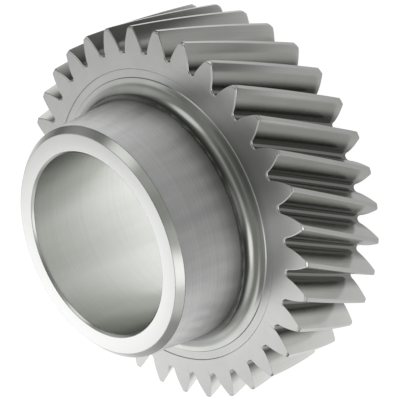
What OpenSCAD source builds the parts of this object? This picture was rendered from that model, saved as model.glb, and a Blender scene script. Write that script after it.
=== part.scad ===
/* Helical gear wheel with a long friction-cone hub, all one piece of steel.
   The axis is Z. The plain back face of the toothed rim lies on z = 0 and the hub points up. */

/* [Teeth] */
// Number of teeth
teeth = 34; // [32:1:36]
// Normal module, which sets the size of the teeth
normal_module = 4.25; // [4.1:0.05:4.4]
// Normal pressure angle in degrees
pressure_angle = 22.5; // [21:0.5:23.5]
// Helix angle at the pitch circle in degrees, right hand
helix_angle = 24; // [18:1:28]
// Height of a tooth above the pitch circle
addendum = 5.4; // [4.5:0.1:5.8]
// Depth of the tooth spaces below the pitch circle
dedendum = 5.85; // [5.4:0.05:6.1]
// Width of the toothed rim along the axis
rim_w = 46.6; // [35:0.1:60]
// Radius of the round at the front end of each tooth's tip
front_round = 1.1; // [0.9:0.1:2]
// Radius of the round at the back end of each tooth's tip
back_round = 1.3; // [0.9:0.1:3]
// Deburring bevel round the flanks and spaces at both ends of the teeth, at 45 degrees
edge_break = 0.5; // [0.3:0.1:0.8]

/* [Hub] */
// Length of the hub in front of the rim
hub_len = 37.3; // [28:0.1:50]
// Diameter of the hub's cone where the bevel at its outer end starts
hub_d = 102.2; // [98:0.2:106]
// Half angle of the hub's cone in degrees
cone_angle = 6; // [3:0.5:7]
// Bevel round the hub's outer end, at 45 degrees
hub_bevel = 2.8; // [1.5:0.1:4]
// Fillet between the hub and the rim's front face
hub_fillet = 6.5; // [5:0.5:7]
// How far the ground cone stands proud of the fillet below it
cone_step = 0.1; // [0.05:0.05:0.4]

/* [Bore] */
// Diameter of the bore
bore_d = 80; // [74:0.5:84]
// Bevel at both ends of the bore, at 45 degrees
bore_bevel = 1; // [0.5:0.1:1.5]

/* [Front face] */
// Flat land between the hub's fillet and the turned relief
relief_land = 1.7; // [0.5:0.1:2.5]
// Width of the shallow relief turned into the front face
relief_w = 4.1; // [2:0.1:4.2]
// Depth of the relief, whose sides slope at 45 degrees
relief_depth = 0.35; // [0.2:0.05:0.8]

/* [Hidden] */
STEEL = [0.72, 0.73, 0.71];
RAD = 180 / PI;
$fn = 180;

// Steps along a flank, round the bottom of a space, along the helix and round the hub's fillet
flank_steps = 4;
root_steps = 6;
helix_steps = 4;
fillet_steps = 12;

// Gear circles
pitch = 360 / teeth;
pitch_r = teeth * normal_module / cos(helix_angle) / 2;
tip_r = pitch_r + addendum;
root_r = pitch_r - dedendum;
transverse_angle = atan(tan(pressure_angle) / cos(helix_angle));
base_r = pitch_r * cos(transverse_angle);
twist_per_mm = tan(helix_angle) / pitch_r * RAD;

// Involute function, in degrees
function involute(a) = tan(a) * RAD - a;

// Half the angle that a tooth fills at radius r, when its outline is taken in by e
function tooth_half(r, e) =
    pitch / 4 + involute(transverse_angle) - involute(acos(base_r / r)) - e / base_r * RAD;

// Radius of the round at the bottom of a space that runs smoothly into both flanks. An involute
// moved out by rho is the same involute turned by rho / base_r, so repeated trial finds rho.
function root_round(rho, n) =
    let (space_half = pitch / 2 - tooth_half(root_r + rho, 0))
    n == 0 ? rho : root_round((rho + space_half / RAD * base_r) / 2, n - 1);
root_rho = root_round(normal_module / 2, 30);

// Radius at the round's centre, the angle from its bottom to where a flank starts, and the
// length there of the tangent to the base circle
round_r = root_r + root_rho;
start_angle = asin(base_r / round_r);
start_tangent = round_r * cos(start_angle) - root_rho;

// Radius at fraction t of a flank that ends at radius tip
function flank_r(t, tip, e) =
    let (start = start_tangent - e, end = sqrt(tip * tip - base_r * base_r))
    norm([base_r, start + (end - start) * t]);

// One tooth and the space after it, as [radius, angle]: up the lower flank, down the upper one
// and round the bottom of the space. The outline is taken in by e and its tip cut to radius tip.
function tooth_outline(e, tip) = [
    for (i = [0 : flank_steps]) let (r = flank_r(i / flank_steps, tip, e)) [r, -tooth_half(r, e)],
    for (i = [flank_steps : -1 : 0]) let (r = flank_r(i / flank_steps, tip, e)) [r, tooth_half(r, e)],
    for (i = [1 : root_steps - 1])
        let (a = start_angle * (1 - 2 * i / root_steps),
             x = round_r - (root_rho + e) * cos(a),
             y = -(root_rho + e) * sin(a))
        [norm([x, y]), pitch / 2 + atan2(y, x)]
];

// Tip radius at depth d below an end face, where the tips are rounded with radius tip_round
function rounded_tip(d, tip_round) =
    let (rise = tip_round - min(d, tip_round))
    tip_r - tip_round + sqrt(tip_round * tip_round - rise * rise);

// Depths below an end face at which the outline changes, and the level at one of them: its height,
// how far the outline is taken in, and its tip radius
function end_depths(tip_round) = [0, edge_break, (edge_break + tip_round) / 2, tip_round];
function level(z, d, tip_round) = [z, max(edge_break - d, 0), rounded_tip(d, tip_round)];
front_depths = end_depths(front_round);
levels = [
    for (d = end_depths(back_round)) level(d, d, back_round),
    for (i = [1 : helix_steps - 1])
        [back_round + (rim_w - back_round - front_round) * i / helix_steps, 0, tip_r],
    for (i = [len(front_depths) - 1 : -1 : 0])
        level(rim_w - front_depths[i], front_depths[i], front_round)
];

// The rim with its teeth, as a solid disc. A tooth is centred on +X at the front face.
module toothed_rim() {
    outlines = [for (v = levels) tooth_outline(v[1], v[2])];
    size = len(outlines[0]);
    count = teeth * size;
    last = len(levels) - 1;
    back_centre = count * len(levels);
    front_centre = back_centre + 1;
    points = [
        for (j = [0 : last]) for (i = [0 : teeth - 1]) for (p = outlines[j])
            let (z = levels[j][0], a = p[1] + i * pitch + (z - rim_w) * twist_per_mm)
            [p[0] * cos(a), p[0] * sin(a), z],
        [0, 0, 0],
        [0, 0, rim_w]
    ];
    sides = [
        for (j = [0 : last - 1]) for (k = [0 : count - 1])
            let (n = (k + 1) % count, lo = j * count, hi = lo + count)
            each [[lo + k, hi + k, hi + n], [lo + k, hi + n, lo + n]]
    ];
    // The back face, anticlockwise from above: each tooth in strips, then a fan to the centre
    foot = 2 * flank_steps + 1;
    back = [
        for (i = [0 : teeth - 1]) let (o = i * size) each [
            for (k = [0 : flank_steps - 1]) [o + k, o + k + 1, o + foot - 1 - k, o + foot - k],
            [back_centre, o, o + foot],
            for (k = [foot : size - 1]) [back_centre, o + k, (o + k + 1) % count]
        ]
    ];
    front = [for (f = back) [for (i = [len(f) - 1 : -1 : 0])
        f[i] == back_centre ? front_centre : f[i] + last * count]];
    polyhedron(points = points, faces = concat(sides, back, front), convexity = 8);
}

// Heights and radii of the hub's section. The cone starts just above the fillet.
function cone_r(z) = hub_d / 2 + (top - hub_bevel - z) * tan(cone_angle);
top = rim_w + hub_len;
fillet_z = rim_w + hub_fillet;
fillet_r = cone_r(fillet_z) - cone_step + hub_fillet / cos(cone_angle);
fillet_end = fillet_z - hub_fillet * sin(cone_angle);
cone_start = fillet_end + 3 * cone_step;
hub_root = rim_w / 2;

// The hub with its fillet, and a core of the rim below it
module hub() {
    rotate_extrude()
        polygon([
            [0, hub_root],
            [fillet_r + relief_land, hub_root],
            [fillet_r + relief_land, rim_w],
            for (i = [0 : fillet_steps]) let (a = 270 - (90 - cone_angle) * i / fillet_steps)
                [fillet_r + hub_fillet * cos(a), fillet_z + hub_fillet * sin(a)],
            [cone_r(cone_start) - cone_step, cone_start],
            [cone_r(cone_start), cone_start + cone_step],
            [cone_r(top - hub_bevel), top - hub_bevel],
            [cone_r(top - hub_bevel) - hub_bevel, top],
            [0, top]
        ]);
}

// The shallow relief round the hub in the rim's front face
module face_relief() {
    inner = fillet_r + relief_land;
    outer = inner + relief_w;
    rotate_extrude()
        polygon([
            [inner + relief_depth, rim_w - relief_depth],
            [outer - relief_depth, rim_w - relief_depth],
            [outer + 1, rim_w + 1],
            [inner - 1, rim_w + 1]
        ]);
}

// The bore through the whole wheel, with a bevel at each end
module bore() {
    translate([0, 0, -1]) cylinder(h = top + 2, d = bore_d);
    for (end = [0, 1]) translate([0, 0, end * top]) mirror([0, 0, end])
        translate([0, 0, -1])
            cylinder(h = bore_bevel + 1, r1 = bore_d / 2 + bore_bevel + 1, r2 = bore_d / 2);
}

// The finished wheel
module gear_wheel() {
    color(STEEL) difference() {
        union() {
            toothed_rim();
            hub();
        }
        bore();
        face_relief();
    }
}

gear_wheel();
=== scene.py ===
"""Looks for a helical gear wheel in bare machined steel.

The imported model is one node, gear_wheel: its axis is Z, its back face lies on the floor, and a
tooth is centred on +X at the rim's front face. This script builds the same wheel again as one
closed mesh with fine flanks, root rounds and edge breaks, gives each of its surfaces its own
finish, and stands it in a plain studio before the camera. Lengths are in metres.
"""

import logging
from dataclasses import dataclass, field
from enum import Enum
from math import acos, asin, atan, atan2, cos, hypot, pi, radians, sin, sqrt, tan

import bmesh
import bpy
from mathutils import Matrix, Quaternion, Vector


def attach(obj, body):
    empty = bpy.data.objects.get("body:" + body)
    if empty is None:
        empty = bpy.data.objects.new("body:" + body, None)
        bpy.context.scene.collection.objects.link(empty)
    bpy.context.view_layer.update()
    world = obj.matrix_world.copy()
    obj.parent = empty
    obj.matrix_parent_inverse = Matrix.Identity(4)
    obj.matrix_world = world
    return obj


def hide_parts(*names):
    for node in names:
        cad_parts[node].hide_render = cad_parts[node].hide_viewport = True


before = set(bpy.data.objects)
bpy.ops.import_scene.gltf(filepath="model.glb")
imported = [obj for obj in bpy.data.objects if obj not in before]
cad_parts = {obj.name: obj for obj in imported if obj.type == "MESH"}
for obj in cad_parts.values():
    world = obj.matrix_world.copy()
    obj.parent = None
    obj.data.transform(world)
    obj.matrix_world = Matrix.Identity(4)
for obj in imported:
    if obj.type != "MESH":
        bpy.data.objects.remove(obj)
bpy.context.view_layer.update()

log = logging.getLogger("gear_wheel")

MM = 0.001
Colour = tuple[float, float, float]
Point = tuple[float, float]
Row = list[bmesh.types.BMVert]


# Shader helpers


class Value:
    """A number that varies over a surface: an output socket whose operators add Math nodes."""

    def __init__(self, shader: "Shader", socket: bpy.types.NodeSocket) -> None:
        """Wraps an output socket of the given shader."""
        self.shader = shader
        self.socket = socket

    def __add__(self, other: "Value | float") -> "Value":
        """Returns self + other."""
        return self.shader.math("ADD", self, other)

    def __radd__(self, other: float) -> "Value":
        """Returns other + self."""
        return self.shader.math("ADD", other, self)

    def __sub__(self, other: "Value | float") -> "Value":
        """Returns self - other."""
        return self.shader.math("SUBTRACT", self, other)

    def __rsub__(self, other: float) -> "Value":
        """Returns other - self."""
        return self.shader.math("SUBTRACT", other, self)

    def __mul__(self, other: "Value | float") -> "Value":
        """Returns self * other."""
        return self.shader.math("MULTIPLY", self, other)

    def __rmul__(self, other: float) -> "Value":
        """Returns other * self."""
        return self.shader.math("MULTIPLY", other, self)

    def __truediv__(self, other: "Value | float") -> "Value":
        """Returns self / other."""
        return self.shader.math("DIVIDE", self, other)

    def __pow__(self, other: float) -> "Value":
        """Returns self to the power of other."""
        return self.shader.math("POWER", self, other)


class Shader:
    """A node tree of a material or a world, and the few ways in which nodes are added to it."""

    def __init__(self, tree: bpy.types.NodeTree) -> None:
        """Takes an empty or used node tree and clears it."""
        self.tree = tree
        tree.nodes.clear()

    def node(
        self,
        kind: str,
        settings: dict[str, object] | None = None,
        inputs: dict[str | int, object] | None = None,
    ) -> bpy.types.Node:
        """Adds a node.

        Args:
            kind: The node's type, such as "ShaderNodeTexNoise".
            settings: Properties that are set first, by name.
            inputs: Values or links of its input sockets, by name or index.

        Returns:
            The new node.
        """
        made = self.tree.nodes.new(kind)
        for name, setting in (settings or {}).items():
            setattr(made, name, setting)
        for key, given in (inputs or {}).items():
            socket = made.inputs[key]
            if isinstance(given, Value):
                given = given.socket
            if isinstance(given, bpy.types.NodeSocket):
                self.tree.links.new(given, socket)
            elif isinstance(given, tuple) and socket.type == "RGBA":
                socket.default_value = (*given, 1.0)
            else:
                socket.default_value = given
        return made

    def math(self, operation: str, *values: "Value | float") -> Value:
        """Adds a Math node with the given operation and values, and returns its result."""
        made = self.node("ShaderNodeMath", {"operation": operation}, dict(enumerate(values)))
        return Value(self, made.outputs[0])

    def smooth(self, value: Value, start: float, end: float) -> Value:
        """Returns 0 where value is at start or before it, 1 at end, and a smooth step between."""
        made = self.node(
            "ShaderNodeMapRange",
            {"interpolation_type": "SMOOTHSTEP"},
            {"Value": value, "From Min": start, "From Max": end},
        )
        return Value(self, made.outputs["Result"])

    def mixed(
        self,
        factor: Value,
        low: Colour | bpy.types.NodeSocket,
        high: Colour | bpy.types.NodeSocket,
    ) -> bpy.types.NodeSocket:
        """Mixes two colours, each a linear colour or a socket that gives one.

        Args:
            factor: How far the result is from low to high.
            low: The colour at 0.
            high: The colour at 1.

        Returns:
            The mixed colour's socket.
        """
        made = self.node("ShaderNodeMix", {"data_type": "RGBA"}, {"Factor": factor})
        colours = [s for s in made.inputs if s.type == "RGBA"]
        for socket, given in zip(colours, (low, high)):
            if isinstance(given, tuple):
                socket.default_value = (*given, 1.0)
            else:
                self.tree.links.new(given, socket)
        return next(s for s in made.outputs if s.type == "RGBA")

    def vector(self, *parts: "Value | float") -> bpy.types.NodeSocket:
        """Combines three numbers into a vector and returns its socket."""
        return self.node("ShaderNodeCombineXYZ", {}, dict(enumerate(parts))).outputs[0]

    def noise(
        self,
        place: bpy.types.NodeSocket,
        scale: float = 1.0,
        layers: float = 3.0,
        fineness: float = 0.55,
    ) -> Value:
        """Adds soft noise.

        Args:
            place: The place that it is read at.
            scale: How often it changes over a unit of length.
            layers: How many finer layers it has.
            fineness: How strong each finer layer is beside the one before it.

        Returns:
            The noise, from 0 to 1 and about 0.5 on the whole.
        """
        made = self.node(
            "ShaderNodeTexNoise",
            {"noise_dimensions": "3D"},
            {"Vector": place, "Scale": scale, "Detail": layers, "Roughness": fineness},
        )
        return Value(self, made.outputs[0])


# Finishes of the steel


class Marks(Enum):
    """Which way the fine lines of the cutting or grinding tool run."""

    RINGS = "round the axis on a face"
    AROUND = "round the axis on a wall"
    LENGTHWISE = "along the teeth"

    @property
    def drift(self) -> float:
        """How often the lines change along their own length, for each metre."""
        return 25.0 if self is Marks.LENGTHWISE else 6.0


class Surface(Enum):
    """The wheel's surfaces, in the order of the mesh's material slots."""

    RIM_FACE = "rim_face"
    FLANK = "tooth_flank"
    ROOT = "tooth_root"
    LAND = "tooth_land"
    EDGE_BREAK = "edge_break"
    RELIEF = "face_relief"
    FILLET = "hub_fillet"
    CONE = "friction_cone"
    HUB_BEVEL = "hub_bevel"
    HUB_END = "hub_end"
    BORE = "bore"

    @property
    def slot(self) -> int:
        """The index of the surface's material slot."""
        return list(Surface).index(self)


@dataclass(frozen=True)
class SteelFinish:
    """Bare steel as one tool leaves it.

    Its colour changes between dull and bright in soft patches and fine lines, and so does its
    roughness, by wander. On a wall the patches are drawn out along the axis. A finish that gives
    an end radius for it also has painted shade, which no tool leaves: its colour is darkened to
    the shade colour at the radius where the painted shade starts, and is clear of it at the
    radius where it ends. It stands for shadow and dark reflections in the hollows.
    """

    surface: Surface
    marks: Marks
    roughness: float
    wander: float = 0.02
    bright: Colour = (0.595, 0.6, 0.58)
    dull: Colour = (0.55, 0.555, 0.53)
    tone_range: tuple[float, float] = (0.3, 0.7)
    line_share: float = 0.4
    patch_size: float = 14 * MM
    wall_stretch: float = 0.12
    mark_pitch: float = 0.35 * MM
    mark_height: float = 0.5e-6
    ripple_height: float = 3e-6
    ripple_size: float = 9 * MM
    grain: float = 0.0
    grain_turn: float = 0.25
    # Painted shade: a darker colour and the radii over which it is painted into the steel,
    # standing for shadow and dark reflections.
    painted_shade: Colour = (0.3, 0.302, 0.285)
    painted_shade_start: float = 0.0
    painted_shade_end: float = 0.0

    def material(self) -> bpy.types.Material:
        """Builds the finish as a material: patches, tool marks and slight waves.

        Returns:
            The material.
        """
        made = bpy.data.materials.new(self.surface.value + "_steel")
        made.use_nodes = True
        shader = Shader(made.node_tree)
        place = shader.node("ShaderNodeTexCoord").outputs["Object"]
        axes = shader.node("ShaderNodeSeparateXYZ", {}, {0: place})
        x, y, z = (Value(shader, socket) for socket in axes.outputs)
        radius = (x * x + y * y) ** 0.5
        wall = self.marks is Marks.AROUND
        across = (z if wall else radius) * (1 / self.mark_pitch)
        drift = self.marks.drift
        lines = shader.noise(shader.vector(across, x * drift, y * drift))
        size = 1 / self.patch_size
        along = size * self.wall_stretch if wall else size
        patches = shader.noise(shader.vector(x * size, y * size, z * along))
        waves = shader.noise(place, scale=1 / self.ripple_size, layers=1.0)
        roughness = self.roughness + (patches - 0.5) * (2 * self.wander)
        roughness = roughness + (lines - 0.5) * self.wander
        tone = patches * (1 - self.line_share) + lines * self.line_share
        colour = shader.mixed(shader.smooth(tone, *self.tone_range), self.dull, self.bright)
        # Painted shade: the colour is darkened towards the shade colour by radius, standing for
        # shadow and dark reflections in hollows, not a mark of the tool.
        if self.painted_shade_end:
            reach = shader.smooth(radius, self.painted_shade_start, self.painted_shade_end)
            colour = shader.mixed(reach, self.painted_shade, colour)
        height = lines * self.mark_height + waves * self.ripple_height
        bump = shader.node(
            "ShaderNodeBump", {}, {"Strength": 1.0, "Distance": 1.0, "Height": height}
        )
        steel = shader.node(
            "ShaderNodeBsdfPrincipled",
            {},
            {
                "Base Color": colour,
                "Metallic": 1.0,
                "Roughness": roughness,
                "Anisotropic": self.grain,
                "Anisotropic Rotation": self.grain_turn,
                "Normal": bump.outputs[0],
            },
        )
        shader.node("ShaderNodeOutputMaterial", {}, {"Surface": steel.outputs[0]})
        return made


FINISHES = (
    SteelFinish(
        Surface.RIM_FACE,
        Marks.RINGS,
        roughness=0.24,
        grain=0.5,
        bright=(0.6, 0.6, 0.6),
        dull=(0.55, 0.55, 0.55),
    ),
    SteelFinish(
        Surface.FLANK,
        Marks.LENGTHWISE,
        roughness=0.2,
        bright=(0.78, 0.785, 0.755),
        dull=(0.71, 0.715, 0.685),
        # Painted shade: the flanks darken towards the root, standing for the shadow and dark
        # reflections in the spaces between teeth.
        painted_shade=(0.23, 0.232, 0.218),
        painted_shade_start=74.3 * MM,
        painted_shade_end=80.5 * MM,
    ),
    SteelFinish(
        Surface.ROOT,
        Marks.LENGTHWISE,
        roughness=0.12,
        # Painted shade: the roots are darkened, most at the bottom of each space, standing for the
        # shadow between the teeth.
        painted_shade_start=73.5 * MM,
        painted_shade_end=90 * MM,
    ),
    SteelFinish(
        Surface.LAND,
        Marks.LENGTHWISE,
        roughness=0.22,
        bright=(0.76, 0.765, 0.745),
        dull=(0.7, 0.705, 0.685),
    ),
    SteelFinish(
        Surface.EDGE_BREAK,
        Marks.LENGTHWISE,
        roughness=0.2,
        # Painted highlight: the broken edges are real, but their paler steel stands for the light
        # that the edges catch.
        bright=(0.88, 0.88, 0.87),
        dull=(0.78, 0.78, 0.77),
    ),
    SteelFinish(
        Surface.RELIEF,
        Marks.RINGS,
        roughness=0.24,
        grain=0.5,
        bright=(0.6, 0.6, 0.6),
        dull=(0.55, 0.55, 0.55),
    ),
    SteelFinish(
        Surface.FILLET,
        Marks.RINGS,
        roughness=0.2,
        bright=(0.62, 0.625, 0.61),
        dull=(0.55, 0.555, 0.54),
        # Painted shade: the fillet darkens towards the cone's foot, standing for the shadow where
        # the hub meets the face.
        painted_shade=(0.24, 0.242, 0.232),
        painted_shade_start=53.9 * MM,
        painted_shade_end=56.3 * MM,
    ),
    SteelFinish(
        Surface.CONE,
        Marks.AROUND,
        roughness=0.37,
        grain=0.5,
        bright=(0.83, 0.83, 0.83),
        dull=(0.62, 0.62, 0.62),
        patch_size=9 * MM,
        wander=0.05,
        # Painted shade: the cone darkens towards its foot, standing for the shadow where it meets
        # the fillet.
        painted_shade=(0.3, 0.3, 0.29),
        painted_shade_start=54.6 * MM,
        painted_shade_end=53.1 * MM,
    ),
    SteelFinish(
        Surface.HUB_BEVEL,
        Marks.AROUND,
        roughness=0.24,
        grain=0.5,
        bright=(0.8, 0.805, 0.785),
        dull=(0.74, 0.745, 0.725),
    ),
    SteelFinish(
        Surface.HUB_END,
        Marks.RINGS,
        roughness=0.22,
        grain=0.4,
        bright=(0.67, 0.67, 0.67),
        dull=(0.64, 0.64, 0.64),
    ),
    SteelFinish(
        Surface.BORE,
        Marks.AROUND,
        roughness=0.3,
        grain=0.85,
        bright=(0.69, 0.7, 0.675),
        dull=(0.56, 0.57, 0.54),
        patch_size=16 * MM,
        wander=0.05,
    ),
)


# The wheel


def involute(angle: float) -> float:
    """Returns the involute function of an angle, in radians."""
    return tan(angle) - angle


def blend(low: float, high: float, share: float) -> float:
    """Returns the number that lies the given share of the way from low to high."""
    return low + (high - low) * share


@dataclass
class Column:
    """One line of the rim's mesh along a tooth: its place in the outline and its edge breaks."""

    surface: Surface
    side: int
    share: float
    front_break: float
    back_break: float


@dataclass
class ToothedRim:
    """The rim with its helical involute teeth. A tooth is centred on +X at the front face.

    Outlines are worked out in one plane across the axis, and every level of the mesh is such an
    outline, turned by the helix and taken in where an edge is broken.
    """

    teeth: int = 34
    normal_module: float = 4.25 * MM
    pressure_angle: float = radians(22.5)
    helix_angle: float = radians(24)
    addendum: float = 5.39 * MM
    dedendum: float = 5.85 * MM
    width: float = 46.6 * MM
    front_round: float = 0.95 * MM
    back_round: float = 1.1 * MM
    tip_bevel: float = radians(45)
    tip_softness: float = radians(30)
    tip_corner: float = 0.2
    root_break: float = 0.7 * MM
    root_break_growth: float = 1.6
    blunt_break: float = 0.36 * MM
    sharp_break: float = 0.07 * MM
    land_round: float = 0.2 * MM
    flank_steps: int = 12
    root_steps: int = 7
    round_steps: int = 3
    helix_steps: int = 16
    end_steps: int = 6
    trials: int = 30

    def __post_init__(self) -> None:
        """Works out the circles, the root round and the columns from the sizes."""
        self.pitch = 2 * pi / self.teeth
        self.pitch_r = self.teeth * self.normal_module / cos(self.helix_angle) / 2
        self.tip_r = self.pitch_r + self.addendum
        self.root_r = self.pitch_r - self.dedendum
        self.transverse = atan(tan(self.pressure_angle) / cos(self.helix_angle))
        self.base_r = self.pitch_r * cos(self.transverse)
        self.twist = tan(self.helix_angle) / self.pitch_r
        self.round = self.root_round()
        self.round_r = self.root_r + self.round
        self.start_angle = asin(self.base_r / self.round_r)
        self.start_tangent = self.round_r * cos(self.start_angle) - self.round
        self.tip_end = self.tip_profile()
        self.columns = self.tooth_columns()

    def tooth_half(self, r: float, e: float) -> float:
        """Returns half the angle that a tooth fills at radius r, taken in by e."""
        filled = involute(self.transverse) - involute(acos(self.base_r / r))
        return self.pitch / 4 + filled - e / self.base_r

    def root_round(self) -> float:
        """Finds the radius of the round that runs smoothly into both flanks of a space.

        Returns:
            The radius. An involute moved out by it is the same involute turned, so repeated
            trial finds it.
        """
        rho = self.normal_module / 2
        for _ in range(self.trials):
            space_half = self.pitch / 2 - self.tooth_half(self.root_r + rho, 0)
            rho = (rho + space_half * self.base_r) / 2
        return rho

    def flank_point(self, share: float, end_r: float, e: float) -> Point:
        """Places a point of a flank.

        Args:
            share: How far up the flank the point is.
            end_r: The radius at which the flank ends.
            e: How far the flank is taken in.

        Returns:
            Radius and half angle.
        """
        start = self.start_tangent - e
        end = sqrt(end_r * end_r - self.base_r * self.base_r)
        r = hypot(self.base_r, start + (end - start) * share)
        return r, self.tooth_half(r, e)

    def corner_point(self, share: float, tip: float, e: float) -> Point:
        """Places a point of the small round between a flank and the tooth's land.

        Args:
            share: How far the point is from the flank to the land.
            tip: The land's radius at this level.
            e: How far the flank is taken in.

        Returns:
            Radius and half angle.
        """
        low_r = tip - self.land_round
        low = self.tooth_half(low_r, e)
        corner = self.tooth_half(tip, e)
        high = corner - self.land_round / tip
        a, b, c = (1 - share) ** 2, 2 * share * (1 - share), share**2
        return a * low_r + (b + c) * tip, a * low + b * corner + c * high

    def root_point(self, share: float, e: float) -> Point:
        """Places a point of the round at the bottom of a space.

        Args:
            share: How far the point is from the flank to the bottom's middle.
            e: How far the round is taken in.

        Returns:
            Radius and half angle.
        """
        a = self.start_angle * (1 - share)
        x = self.round_r - (self.round + e) * cos(a)
        y = -(self.round + e) * sin(a)
        return hypot(x, y), self.pitch / 2 + atan2(y, x)

    def tooth_columns(self) -> list[Column]:
        """Lists the columns of one tooth and half of each space beside it.

        Returns:
            The columns in order of angle, from the middle of the space below the tooth to the
            last one before the middle of the space above it.
        """
        half = [(Surface.LAND, 1.0)]
        for i in range(1, self.round_steps + 1):
            half.append((Surface.LAND, 1 - i / self.round_steps))
        for i in range(1, self.flank_steps + 1):
            half.append((Surface.FLANK, 1 - i / self.flank_steps))
        for i in range(1, self.root_steps + 1):
            half.append((Surface.ROOT, i / self.root_steps))
        upper = [self.column(surface, 1, share) for surface, share in half]
        lower = [self.column(surface, -1, share) for surface, share in reversed(half)]
        centre = Column(Surface.LAND, 0, 1.0, 0.0, 0.0)
        return [*lower, centre, *upper[:-1]]

    def flank_break(self, side: int, front: bool) -> float:
        """Returns how far a flank's edge is broken at the front or back face.

        Args:
            side: 1 for the upper flank and -1 for the lower one.
            front: Whether the edge is in the front face.

        Returns:
            The size of the break. The lower flank leans over the front face and the upper one
            over the back face, and such a blunt edge is broken more than a sharp one.
        """
        return self.blunt_break if (side < 0) == front else self.sharp_break

    def column(self, surface: Surface, side: int, share: float) -> Column:
        """Makes a column with its edge breaks at both faces.

        Args:
            surface: LAND for the corner round, FLANK or ROOT.
            side: 1 for the upper flank's side of the tooth and -1 for the lower one's.
            share: Its place in that part of the outline.

        Returns:
            The column.
        """
        breaks = []
        for front in (True, False):
            size = self.flank_break(side, front)
            if surface is Surface.ROOT:
                size = blend(size, self.root_break, min(1.0, self.root_break_growth * share))
            breaks.append(size)
        return Column(surface, side, share, *breaks)

    def taken_in(self, column: Column, z: float) -> float:
        """Works out how far the edge breaks take the outline in.

        Args:
            column: The column.
            z: The height.

        Returns:
            The distance, measured square to the outline.
        """
        taken = 0.0
        for front, depth in ((True, self.width - z), (False, z)):
            size = column.front_break if front else column.back_break
            taken += max(size - depth, 0.0)
        return taken

    def rounded_tip(self, z: float) -> float:
        """Works out the tip radius, which the rounds at both ends of the teeth make smaller.

        Args:
            z: The height.

        Returns:
            The teeth's tip radius at that height.
        """
        lost = 0.0
        for size, depth in ((self.front_round, self.width - z), (self.back_round, z)):
            for (above, more), (below, less) in zip(self.tip_end, self.tip_end[1:]):
                if above <= depth / size < below:
                    lost += size * blend(more, less, (depth / size - above) / (below - above))
        return self.tip_r - lost

    def tip_profile(self) -> list[Point]:
        """Draws the end of a tooth's tip at a size of 1: a bevel with soft corners.

        Returns:
            Points of (depth below the end face, radius lost), from the face down.
        """
        steep, shallow = self.tip_bevel + self.tip_softness, self.tip_bevel - self.tip_softness
        straight = self.end_steps - 2
        slopes = [steep, *[self.tip_bevel] * straight, shallow]
        steps = [self.tip_corner, *[(1 - self.tip_corner) / straight] * straight, self.tip_corner]
        full = sum(step * cos(slope) for step, slope in zip(steps, slopes))
        points = [(0.0, 1.0)]
        for step, slope in zip(steps, slopes):
            depth, lost = points[-1]
            points.append((depth + step * cos(slope) / full, lost - step * sin(slope) / full))
        return points

    def end_depths(self, column: Column, size: float, edge: float) -> list[float]:
        """Lists a column's depths below one end face.

        Args:
            column: The column.
            size: Size of the round at this end of the tips.
            edge: Size of the column's edge break at this end.

        Returns:
            Depths from the face down to the end of the round. On a flank and in a space the
            second one is where the edge break ends, and on the land they follow the tip's bevel.
        """
        n = self.end_steps
        flat = [0.0, *(blend(edge, size, k / (n - 1)) for k in range(n))]
        turned = [size * depth for depth, _ in self.tip_end]
        share = column.share if column.surface is Surface.LAND else 0.0
        return [blend(a, b, share) for a, b in zip(flat, turned)]

    def heights(self, column: Column) -> list[float]:
        """Lists the heights of a column's points.

        Args:
            column: The column.

        Returns:
            Heights from the back face to the front face.
        """
        low = self.end_depths(column, self.back_round, column.back_break)
        high = self.end_depths(column, self.front_round, column.front_break)
        start, end = self.back_round, self.width - self.front_round
        inner = [blend(start, end, i / self.helix_steps) for i in range(1, self.helix_steps)]
        return [*low, *inner, *(self.width - d for d in reversed(high))]

    def point(self, column: Column, tooth: int, z: float) -> Vector:
        """Places a point of the rim.

        Args:
            column: Where it is in the outline.
            tooth: The tooth's number, anticlockwise from +X.
            z: Its height.

        Returns:
            The point.
        """
        e = self.taken_in(column, z)
        tip = self.rounded_tip(z)
        if column.side == 0:
            r, half = tip, 0.0
        elif column.surface is Surface.LAND:
            r, half = self.corner_point(column.share, tip, e)
        elif column.surface is Surface.FLANK:
            r, half = self.flank_point(column.share, tip - self.land_round, e)
        else:
            r, half = self.root_point(column.share, e)
        side = column.side or 1
        angle = tooth * self.pitch + side * half + (z - self.width) * self.twist
        return Vector((r * cos(angle), r * sin(angle), z))

    def build(self, mesh: bmesh.types.BMesh) -> tuple[Row, Row]:
        """Adds the teeth and their ends in both faces.

        Args:
            mesh: The mesh that is added to.

        Returns:
            The open edge of the back face and of the front face: the corners round the foot of
            each tooth and the bottom of each space, in order of angle.
        """
        grid = [
            [mesh.verts.new(self.point(column, tooth, z)) for z in self.heights(column)]
            for tooth in range(self.teeth)
            for column in self.columns
        ]
        size, count = len(self.columns), len(grid)
        for k in range(count):
            surface = self.strip_surface(self.columns[k % size], self.columns[(k + 1) % size])
            self.strip(mesh, grid[k], grid[(k + 1) % count], surface)
        return self.tooth_ends(mesh, grid, False), self.tooth_ends(mesh, grid, True)

    def strip(self, mesh: bmesh.types.BMesh, here: Row, after: Row, surface: Surface) -> None:
        """Fills the strip between two neighbouring columns.

        Args:
            mesh: The mesh that is added to.
            here: The first column's corners, from the back face to the front face.
            after: The next column's corners.
            surface: The strip's surface between the edge breaks at its ends.
        """
        rows = self.end_steps if surface is Surface.LAND else 1
        last = len(here) - 2
        for j in range(len(here) - 1):
            broken = min(j, last - j) < rows
            corners = [here[j], after[j], after[j + 1], here[j + 1]]
            add_face(mesh, corners, Surface.EDGE_BREAK if broken else surface)

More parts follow.
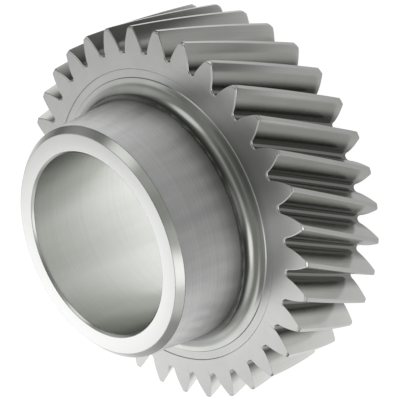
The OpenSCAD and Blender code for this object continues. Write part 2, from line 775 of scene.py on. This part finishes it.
    def tooth_ends(self, mesh: bmesh.types.BMesh, grid: list[Row], front: bool) -> Row:
        """Fills the ends of the teeth in one face of the rim.

        Args:
            mesh: The mesh that is added to.
            grid: The corners of all columns.
            front: Whether it is the front face.

        Returns:
            The face's open edge, round the foot of each tooth and the bottom of each space.
        """
        size, foot, level = len(self.columns), self.root_steps, -1 if front else 0
        middle = size // 2
        edge = []
        for tooth in range(self.teeth):
            row = [grid[(tooth * size + k) % len(grid)][level] for k in range(size + 1)]
            for k in range(foot, middle - 1):
                quad = [row[k], row[k + 1], row[size - k - 1], row[size - k]]
                add_face(mesh, quad if front else quad[::-1], Surface.RIM_FACE)
            tip = row[middle - 1 : middle + 2]
            add_face(mesh, tip if front else tip[::-1], Surface.RIM_FACE)
            edge += row[: foot + 1] + row[size - foot : size]
        return edge

    def strip_surface(self, a: Column, b: Column) -> Surface:
        """Finds the surface between two neighbouring columns.

        Args:
            a: One column.
            b: The other.

        Returns:
            The surface.
        """
        for surface in (Surface.ROOT, Surface.FLANK):
            if surface in (a.surface, b.surface):
                return surface
        return Surface.LAND


@dataclass
class Turning:
    """A run of the wheel's turned section, from one point to the next."""

    points: list[Point]
    surface: Surface


@dataclass
class TurnedSection:
    """The hub, bore and face relief: all that is round about the axis, as one closed outline."""

    rim_width: float
    hub_length: float = 37.3 * MM
    hub_diameter: float = 102.2 * MM
    cone_angle: float = radians(6)
    hub_bevel: float = 2.8 * MM
    hub_fillet: float = 6.5 * MM
    bore_diameter: float = 80 * MM
    bore_bevel: float = 1.0 * MM
    relief_land: float = 1.7 * MM
    relief_width: float = 4.1 * MM
    relief_depth: float = 0.35 * MM
    edge_round: float = 0.18 * MM
    edge_sharpness: float = 0.45
    columns: int = 384
    fillet_steps: int = 20
    cone_steps: int = 10
    end_steps: int = 2
    bore_steps: int = 16

    def cone_r(self, z: float) -> float:
        """Returns the friction cone's radius at height z."""
        below = self.rim_width + self.hub_length - self.hub_bevel - z
        return self.hub_diameter / 2 + below * tan(self.cone_angle)

    def section(self) -> list[Turning]:
        """Draws the section from the relief's outer edge, over the hub, to the bore's back bevel.

        Returns:
            Runs of (radius, height) points. Each run starts where the one before it ends.
        """
        top = self.rim_width + self.hub_length
        face = self.rim_width
        fillet = self.fillet()
        inner = fillet[0][0] + self.relief_land
        outer = inner + self.relief_width
        low = face - self.relief_depth
        cone_high = (self.cone_r(top - self.hub_bevel), top - self.hub_bevel)
        end_outer = (cone_high[0] - self.hub_bevel, top)
        bore_r = self.bore_diameter / 2
        end_inner = (bore_r + self.bore_bevel, top)
        bore_high = (bore_r, top - self.bore_bevel)
        bore_low = (bore_r, self.bore_bevel)
        back = (bore_r + self.bore_bevel, 0.0)
        return [
            Turning(
                [
                    (outer, face),
                    (outer - self.relief_depth, low),
                    (inner + self.relief_depth, low),
                    (inner, face),
                ],
                Surface.RELIEF,
            ),
            Turning([(inner, face), fillet[0]], Surface.FILLET),
            Turning(fillet, Surface.FILLET),
            Turning(self.line(fillet[-1], cone_high, self.cone_steps), Surface.CONE),
            Turning(self.line(cone_high, end_outer), Surface.HUB_BEVEL),
            Turning(self.line(end_outer, end_inner, self.end_steps), Surface.HUB_END),
            Turning(self.line(end_inner, bore_high), Surface.HUB_BEVEL),
            Turning(self.line(bore_high, bore_low, self.bore_steps), Surface.BORE),
            Turning(self.line(bore_low, back), Surface.HUB_BEVEL),
        ]

    def fillet(self) -> list[Point]:
        """Draws the fillet.

        Returns:
            Points from the rim's front face to the cone.
        """
        z = self.rim_width + self.hub_fillet
        r = self.cone_r(z) + self.hub_fillet / cos(self.cone_angle)
        made = []
        for i in range(self.fillet_steps + 1):
            a = radians(270) - (radians(90) - self.cone_angle) * i / self.fillet_steps
            made.append((r + self.hub_fillet * cos(a), z + self.hub_fillet * sin(a)))
        return made

    def line(self, start: Point, end: Point, steps: int = 1) -> list[Point]:
        """Draws a straight run, with an extra point near each end for the round of its edge.

        Args:
            start: Its first point.
            end: Its last point.
            steps: How many steps lie between the extra points.

        Returns:
            The run's points.
        """
        cut = self.edge_round / hypot(end[0] - start[0], end[1] - start[1])
        inner = (blend(cut, 1 - cut, i / steps) for i in range(steps + 1))
        shares = [0.0, *inner, 1.0]
        return [(blend(start[0], end[0], s), blend(start[1], end[1], s)) for s in shares]

    def outline(self) -> list[tuple[float, float, Surface]]:
        """Joins the runs and rounds the edges of the hub and bore.

        Returns:
            Points as radius, height and the surface that starts there.
        """
        runs = self.section()
        made = [(r, z, run.surface) for run in runs for r, z in run.points[:-1]]
        made.append((*runs[-1].points[-1], runs[-1].surface))
        edged = {Surface.CONE, Surface.HUB_BEVEL, Surface.HUB_END, Surface.BORE}
        for i in range(1, len(made) - 1):
            before, here, after = made[i - 1], made[i], made[i + 1]
            if here[2] in edged and before[2] in edged and before[2] is not here[2]:
                r = blend((before[0] + after[0]) / 2, here[0], self.edge_sharpness)
                z = blend((before[1] + after[1]) / 2, here[1], self.edge_sharpness)
                made[i] = (r, z, here[2])
        return made

    def build(self, mesh: bmesh.types.BMesh) -> tuple[Row, Row]:
        """Adds the turned section.

        Args:
            mesh: The mesh that is added to.

        Returns:
            The ring at the relief's outer edge in the front face, and the ring of the bore's
            bevel in the back face, in order of angle.
        """
        outline = self.outline()
        angles = [2 * pi * i / self.columns for i in range(self.columns)]
        rings = [
            [mesh.verts.new((r * cos(a), r * sin(a), z)) for a in angles] for r, z, _ in outline
        ]
        for j in range(len(rings) - 1):
            here, after = rings[j], rings[j + 1]
            for i in range(self.columns):
                n = (i + 1) % self.columns
                add_face(mesh, [here[i], here[n], after[n], after[i]], outline[j][2])
        return rings[0], rings[-1]


def add_face(mesh: bmesh.types.BMesh, corners: Row, surface: Surface) -> None:
    """Adds a smooth face.

    Args:
        mesh: The mesh that is added to.
        corners: The face's corners, anticlockwise from outside.
        surface: The surface that the face is part of, which gives it its finish.
    """
    made = mesh.faces.new(corners)
    made.material_index = surface.slot
    made.smooth = True


def angle_of(corner: bmesh.types.BMVert) -> float:
    """Returns a corner's angle about the axis, from 0 to a full turn."""
    return atan2(corner.co.y, corner.co.x) % (2 * pi)


def by_angle(row: Row) -> list[tuple[float, bmesh.types.BMVert]]:
    """Starts a closed row at its smallest angle.

    Args:
        row: The row, in order of angle.

    Returns:
        Each corner with its angle, and the first one again after a full turn.
    """
    first = min(range(len(row)), key=lambda k: angle_of(row[k]))
    turned = row[first:] + row[:first]
    return [*((angle_of(v), v) for v in turned), (angle_of(turned[0]) + 2 * pi, turned[0])]


def stitch(mesh: bmesh.types.BMesh, outer: Row, inner: Row, facing_up: bool) -> None:
    """Fills the flat ring between two closed rows of corners with triangles.

    Args:
        mesh: The mesh that is added to.
        outer: The outer row, in order of angle.
        inner: The inner row, in order of angle.
        facing_up: Whether the faces look along +Z.
    """
    out, into = by_angle(outer), by_angle(inner)
    i = j = 0
    while i < len(out) - 1 or j < len(into) - 1:
        inner_done, outer_left = j == len(into) - 1, i < len(out) - 1
        if inner_done or (outer_left and out[i + 1][0] <= into[j + 1][0]):
            corners = [out[i][1], out[i + 1][1], into[j][1]]
            i += 1
        else:
            corners = [out[i][1], into[j + 1][1], into[j][1]]
            j += 1
        add_face(mesh, corners if facing_up else corners[::-1], Surface.RIM_FACE)


@dataclass
class GearWheel:
    """The whole wheel: its toothed rim, hub and bore as one closed solid."""

    rim: ToothedRim = field(default_factory=ToothedRim)
    smooth_below: float = radians(24)
    face_rank: int = 16384

    def build(self) -> bpy.types.Object:
        """Builds and dresses the wheel.

        Returns:
            The piece that stands for the CAD node.
        """
        mesh = bmesh.new()
        rim_back, rim_front = self.rim.build(mesh)
        relief_ring, bore_ring = TurnedSection(self.rim.width).build(mesh)
        stitch(mesh, rim_front, relief_ring, True)
        stitch(mesh, rim_back, bore_ring, False)
        mesh.normal_update()
        for edge in mesh.edges:
            broken = any(f.material_index == Surface.EDGE_BREAK.slot for f in edge.link_faces)
            edge.smooth = broken or edge.calc_face_angle(0.0) < self.smooth_below
        data = bpy.data.meshes.new("finished_gear_wheel")
        mesh.to_mesh(data)
        mesh.free()
        for finish in FINISHES:
            data.materials.append(finish.material())
        self.rank_faces(data)
        piece = bpy.data.objects.new("finished_gear_wheel", data)
        bpy.context.scene.collection.objects.link(piece)
        weighted = piece.modifiers.new("even_shading", "WEIGHTED_NORMAL")
        weighted.keep_sharp = True
        weighted.use_face_influence = True
        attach(piece, "root")
        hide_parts("gear_wheel")
        return piece

    def rank_faces(self, data: bpy.types.Mesh) -> None:
        """Lets the flat faces set the shading at their edges, so that edge breaks look round.

        Args:
            data: The wheel's mesh. Its faces get the ranks that the shading modifier reads.
        """
        ranks = data.attributes.new("__mod_weightednormals_faceweight", "INT", "FACE")
        rank = {Surface.RIM_FACE.slot: self.face_rank, Surface.EDGE_BREAK.slot: -self.face_rank}
        for face in data.polygons:
            ranks.data[face.index].value = rank.get(face.material_index, 0)


# The studio


@dataclass(frozen=True)
class Glow:
    """A soft patch of light in the studio's surroundings, or a dark one if strength is negative.

    Angles are in degrees. Azimuth is anticlockwise from +X, so 90 is behind the wheel and -90 on
    the camera's side. The patch is full as far as reach less soft from its middle, and gone at
    reach and soft together.
    """

    azimuth: float
    elevation: float
    reach: float
    soft: float
    strength: float

    def direction(self) -> Vector:
        """Returns the unit vector towards the patch's middle."""
        a, e = radians(self.azimuth), radians(self.elevation)
        return Vector((cos(e) * cos(a), cos(e) * sin(a), sin(e)))


@dataclass
class Studio:
    """A pale floor and soft, plain surroundings.

    The camera sees the floor white, by the share seen_white of its glow. The steel mirrors it as a
    pool of light, brighter behind the wheel than in front of it, and brightest in the bore. From
    pool_range on it falls off, to far_back on the side that far_side points to and to far_front on
    the other. A range gives where such a change starts and ends: distances are from the axis.
    """

    floor_size: float = 12.0
    floor_colour: Colour = (0.9, 0.9, 0.9)
    floor_glow: float = 1.5
    seen_white: float = 0.64
    dim_floor: float = 0.04
    front_glow: float = 0.25
    back_glow: float = 0.6
    behind_range: tuple[float, float] = (-1.3, 0.2)
    bore_glow: float = 0.5
    bore_range: tuple[float, float] = (0.045, 0.055)
    pool_range: tuple[float, float] = (0.28, 0.5)
    far_front: float = 0.12
    far_back: float = 0.5
    far_side: tuple[float, float] = (-0.79, 0.62)
    far_range: tuple[float, float] = (-0.6, 0.6)
    glows: tuple[Glow, ...] = (
        Glow(azimuth=103, elevation=14, reach=34, soft=12, strength=0.64),
        Glow(azimuth=94, elevation=31, reach=6, soft=3, strength=1.5),
        Glow(azimuth=-12, elevation=41, reach=13, soft=6, strength=0.95),
        Glow(azimuth=-146, elevation=43, reach=12, soft=6, strength=1.4),
        Glow(azimuth=-178, elevation=36, reach=12, soft=8, strength=0.65),
        Glow(azimuth=-105, elevation=4, reach=16, soft=9, strength=0.48),
        Glow(azimuth=104, elevation=53, reach=12, soft=8, strength=0.57),
        Glow(azimuth=42, elevation=28, reach=18, soft=9, strength=0.36),
        Glow(azimuth=148, elevation=24, reach=16, soft=9, strength=0.3),
        Glow(azimuth=-112, elevation=46, reach=9, soft=6, strength=0.35),
        Glow(azimuth=-80, elevation=46, reach=9, soft=6, strength=0.14),
        Glow(azimuth=-50, elevation=45, reach=9, soft=6, strength=0.24),
        Glow(azimuth=-70, elevation=73, reach=16, soft=8, strength=-0.18),
    )
    sky: float = 0.31
    horizon: float = 0.06
    sky_height: float = 0.8
    lamp_colour: Colour = (0.8, 0.8, 0.8)
    sky_colour: Colour = (0.776, 0.8, 0.73)

    def build(self) -> bpy.types.Object:
        """Builds the surroundings and the floor, and returns the floor."""
        self.surroundings()
        return self.floor()

    def surroundings(self) -> None:
        """Makes the world: a dim, faintly green sky, soft white lights and one darker patch."""
        world = bpy.data.worlds.new("soft_studio")
        bpy.context.scene.world = world
        world.use_nodes = True
        shader = Shader(world.node_tree)
        direction = shader.node("ShaderNodeTexCoord").outputs["Generated"]
        up = Value(shader, shader.node("ShaderNodeSeparateXYZ", {}, {0: direction}).outputs[2])
        plain = between(self.horizon, self.sky, shader.smooth(up, 0.0, self.sky_height))
        light = plain
        for glow in self.glows:
            facing = shader.node(
                "ShaderNodeVectorMath",
                {"operation": "DOT_PRODUCT"},
                {0: direction, 1: tuple(glow.direction())},
            )
            light = light + glow.strength * shader.smooth(
                Value(shader, facing.outputs["Value"]),
                cos(radians(glow.reach + glow.soft)),
                cos(radians(glow.reach - glow.soft)),
            )
        seen = Value(shader, shader.node("ShaderNodeLightPath").outputs["Is Camera Ray"])
        colour = shader.mixed(plain / light * (1 - seen), self.lamp_colour, self.sky_colour)
        light = light * (1 - seen) + seen
        back = shader.node("ShaderNodeBackground", {}, {"Color": colour, "Strength": light})
        shader.node("ShaderNodeOutputWorld", {}, {"Surface": back.outputs[0]})

    def floor(self) -> bpy.types.Object:
        """Makes the pale floor under the wheel.

        Returns:
            The floor.
        """
        half = self.floor_size / 2
        corners = [(-half, -half, 0), (half, -half, 0), (half, half, 0), (-half, half, 0)]
        data = bpy.data.meshes.new("studio_floor")
        data.from_pydata(corners, [], [(0, 1, 2, 3)])
        data.materials.append(self.floor_material())
        floor = bpy.data.objects.new("studio_floor", data)
        bpy.context.scene.collection.objects.link(floor)
        return floor

    def floor_material(self) -> bpy.types.Material:
        """Builds the floor's material: white to the camera, and a pool of light to the steel.

        Returns:
            The material.
        """
        made = bpy.data.materials.new("pale_floor")
        made.use_nodes = True
        shader = Shader(made.node_tree)
        path = shader.node("ShaderNodeLightPath").outputs
        glossy = Value(shader, path["Is Glossy Ray"])
        pale = shader.node("ShaderNodeBsdfDiffuse", {}, {"Color": self.floor_colour})
        dim = shader.node("ShaderNodeEmission", {}, {"Strength": self.dim_floor})
        glow = shader.node(
            "ShaderNodeEmission", {}, {"Color": (1.0, 1.0, 1.0), "Strength": self.floor_glow}
        )
        under = shader.node(
            "ShaderNodeMixShader", {}, {0: glossy, 1: pale.outputs[0], 2: dim.outputs[0]}
        )
        seen = Value(shader, path["Is Camera Ray"]) * self.seen_white
        mixed = shader.node(
            "ShaderNodeMixShader",
            {},
            {0: seen + glossy * self.mirrored(shader), 1: under.outputs[0], 2: glow.outputs[0]},
        )
        shader.node("ShaderNodeOutputMaterial", {}, {"Surface": mixed.outputs[0]})
        return made

    def mirrored(self, shader: Shader) -> Value:
        """Works out how brightly the steel mirrors the floor.

        Args:
            shader: The floor's shader.

        Returns:
            The share of the floor's glow at each place.
        """
        place = shader.node("ShaderNodeTexCoord").outputs["Object"]
        axes = shader.node("ShaderNodeSeparateXYZ", {}, {0: place}).outputs
        x, y = Value(shader, axes[0]), Value(shader, axes[1])
        away = (x * x + y * y) ** 0.5
        behind = shader.smooth(y / away, *self.behind_range)
        side_x, side_y = self.far_side
        side = shader.smooth((x * side_x + y * side_y) / away, *self.far_range)
        far = between(self.far_front, self.far_back, side)
        pool = 1 - (1 - far) * shader.smooth(away, *self.pool_range)
        bore = self.bore_glow * (1 - shader.smooth(away, *self.bore_range))
        return between(self.front_glow, self.back_glow, behind) * pool + bore


def between(low: float, high: float, share: Value) -> Value:
    """Returns low where share is 0 and high where it is 1."""
    return low + share * (high - low)


@dataclass
class StudioCamera:
    """A long lens above the front face, rolled so that the wheel leans across the frame."""

    place: tuple[float, float, float] = (0.0146, -0.4475, 0.4003)
    aim: tuple[float, float, float] = (-0.00017, -0.00001, 0.02086)
    roll: float = radians(113.48)
    lens: float = 118.2
    sensor: float = 36.0

    def build(self) -> bpy.types.Object:
        """Makes the camera and sets it as the scene's.

        Returns:
            The camera.
        """
        data = bpy.data.cameras.new("studio_camera")
        data.lens = self.lens
        data.sensor_width = self.sensor
        camera = bpy.data.objects.new("studio_camera", data)
        bpy.context.scene.collection.objects.link(camera)
        towards = Vector(self.aim) - Vector(self.place)
        level = towards.to_track_quat("-Z", "Y")
        turned = level @ Quaternion((0, 0, 1), -self.roll)
        camera.matrix_world = Matrix.Translation(self.place) @ turned.to_matrix().to_4x4()
        bpy.context.scene.camera = camera
        return camera


def main() -> None:
    """Builds the wheel, the studio and the camera, and reports each piece."""
    logging.basicConfig(level=logging.INFO, format="%(name)s: %(message)s")
    bpy.context.scene.view_settings.view_transform = "Standard"
    StudioCamera().build()
    piece = GearWheel().build()
    mesh = piece.data
    log.info("%s: %d corners, %d faces", piece.name, len(mesh.vertices), len(mesh.polygons))
    floor = Studio().build()
    log.info("%s: %.1f m square", floor.name, floor.dimensions.x)
    bpy.context.view_layer.update()


if __name__ == "__main__":
    main()
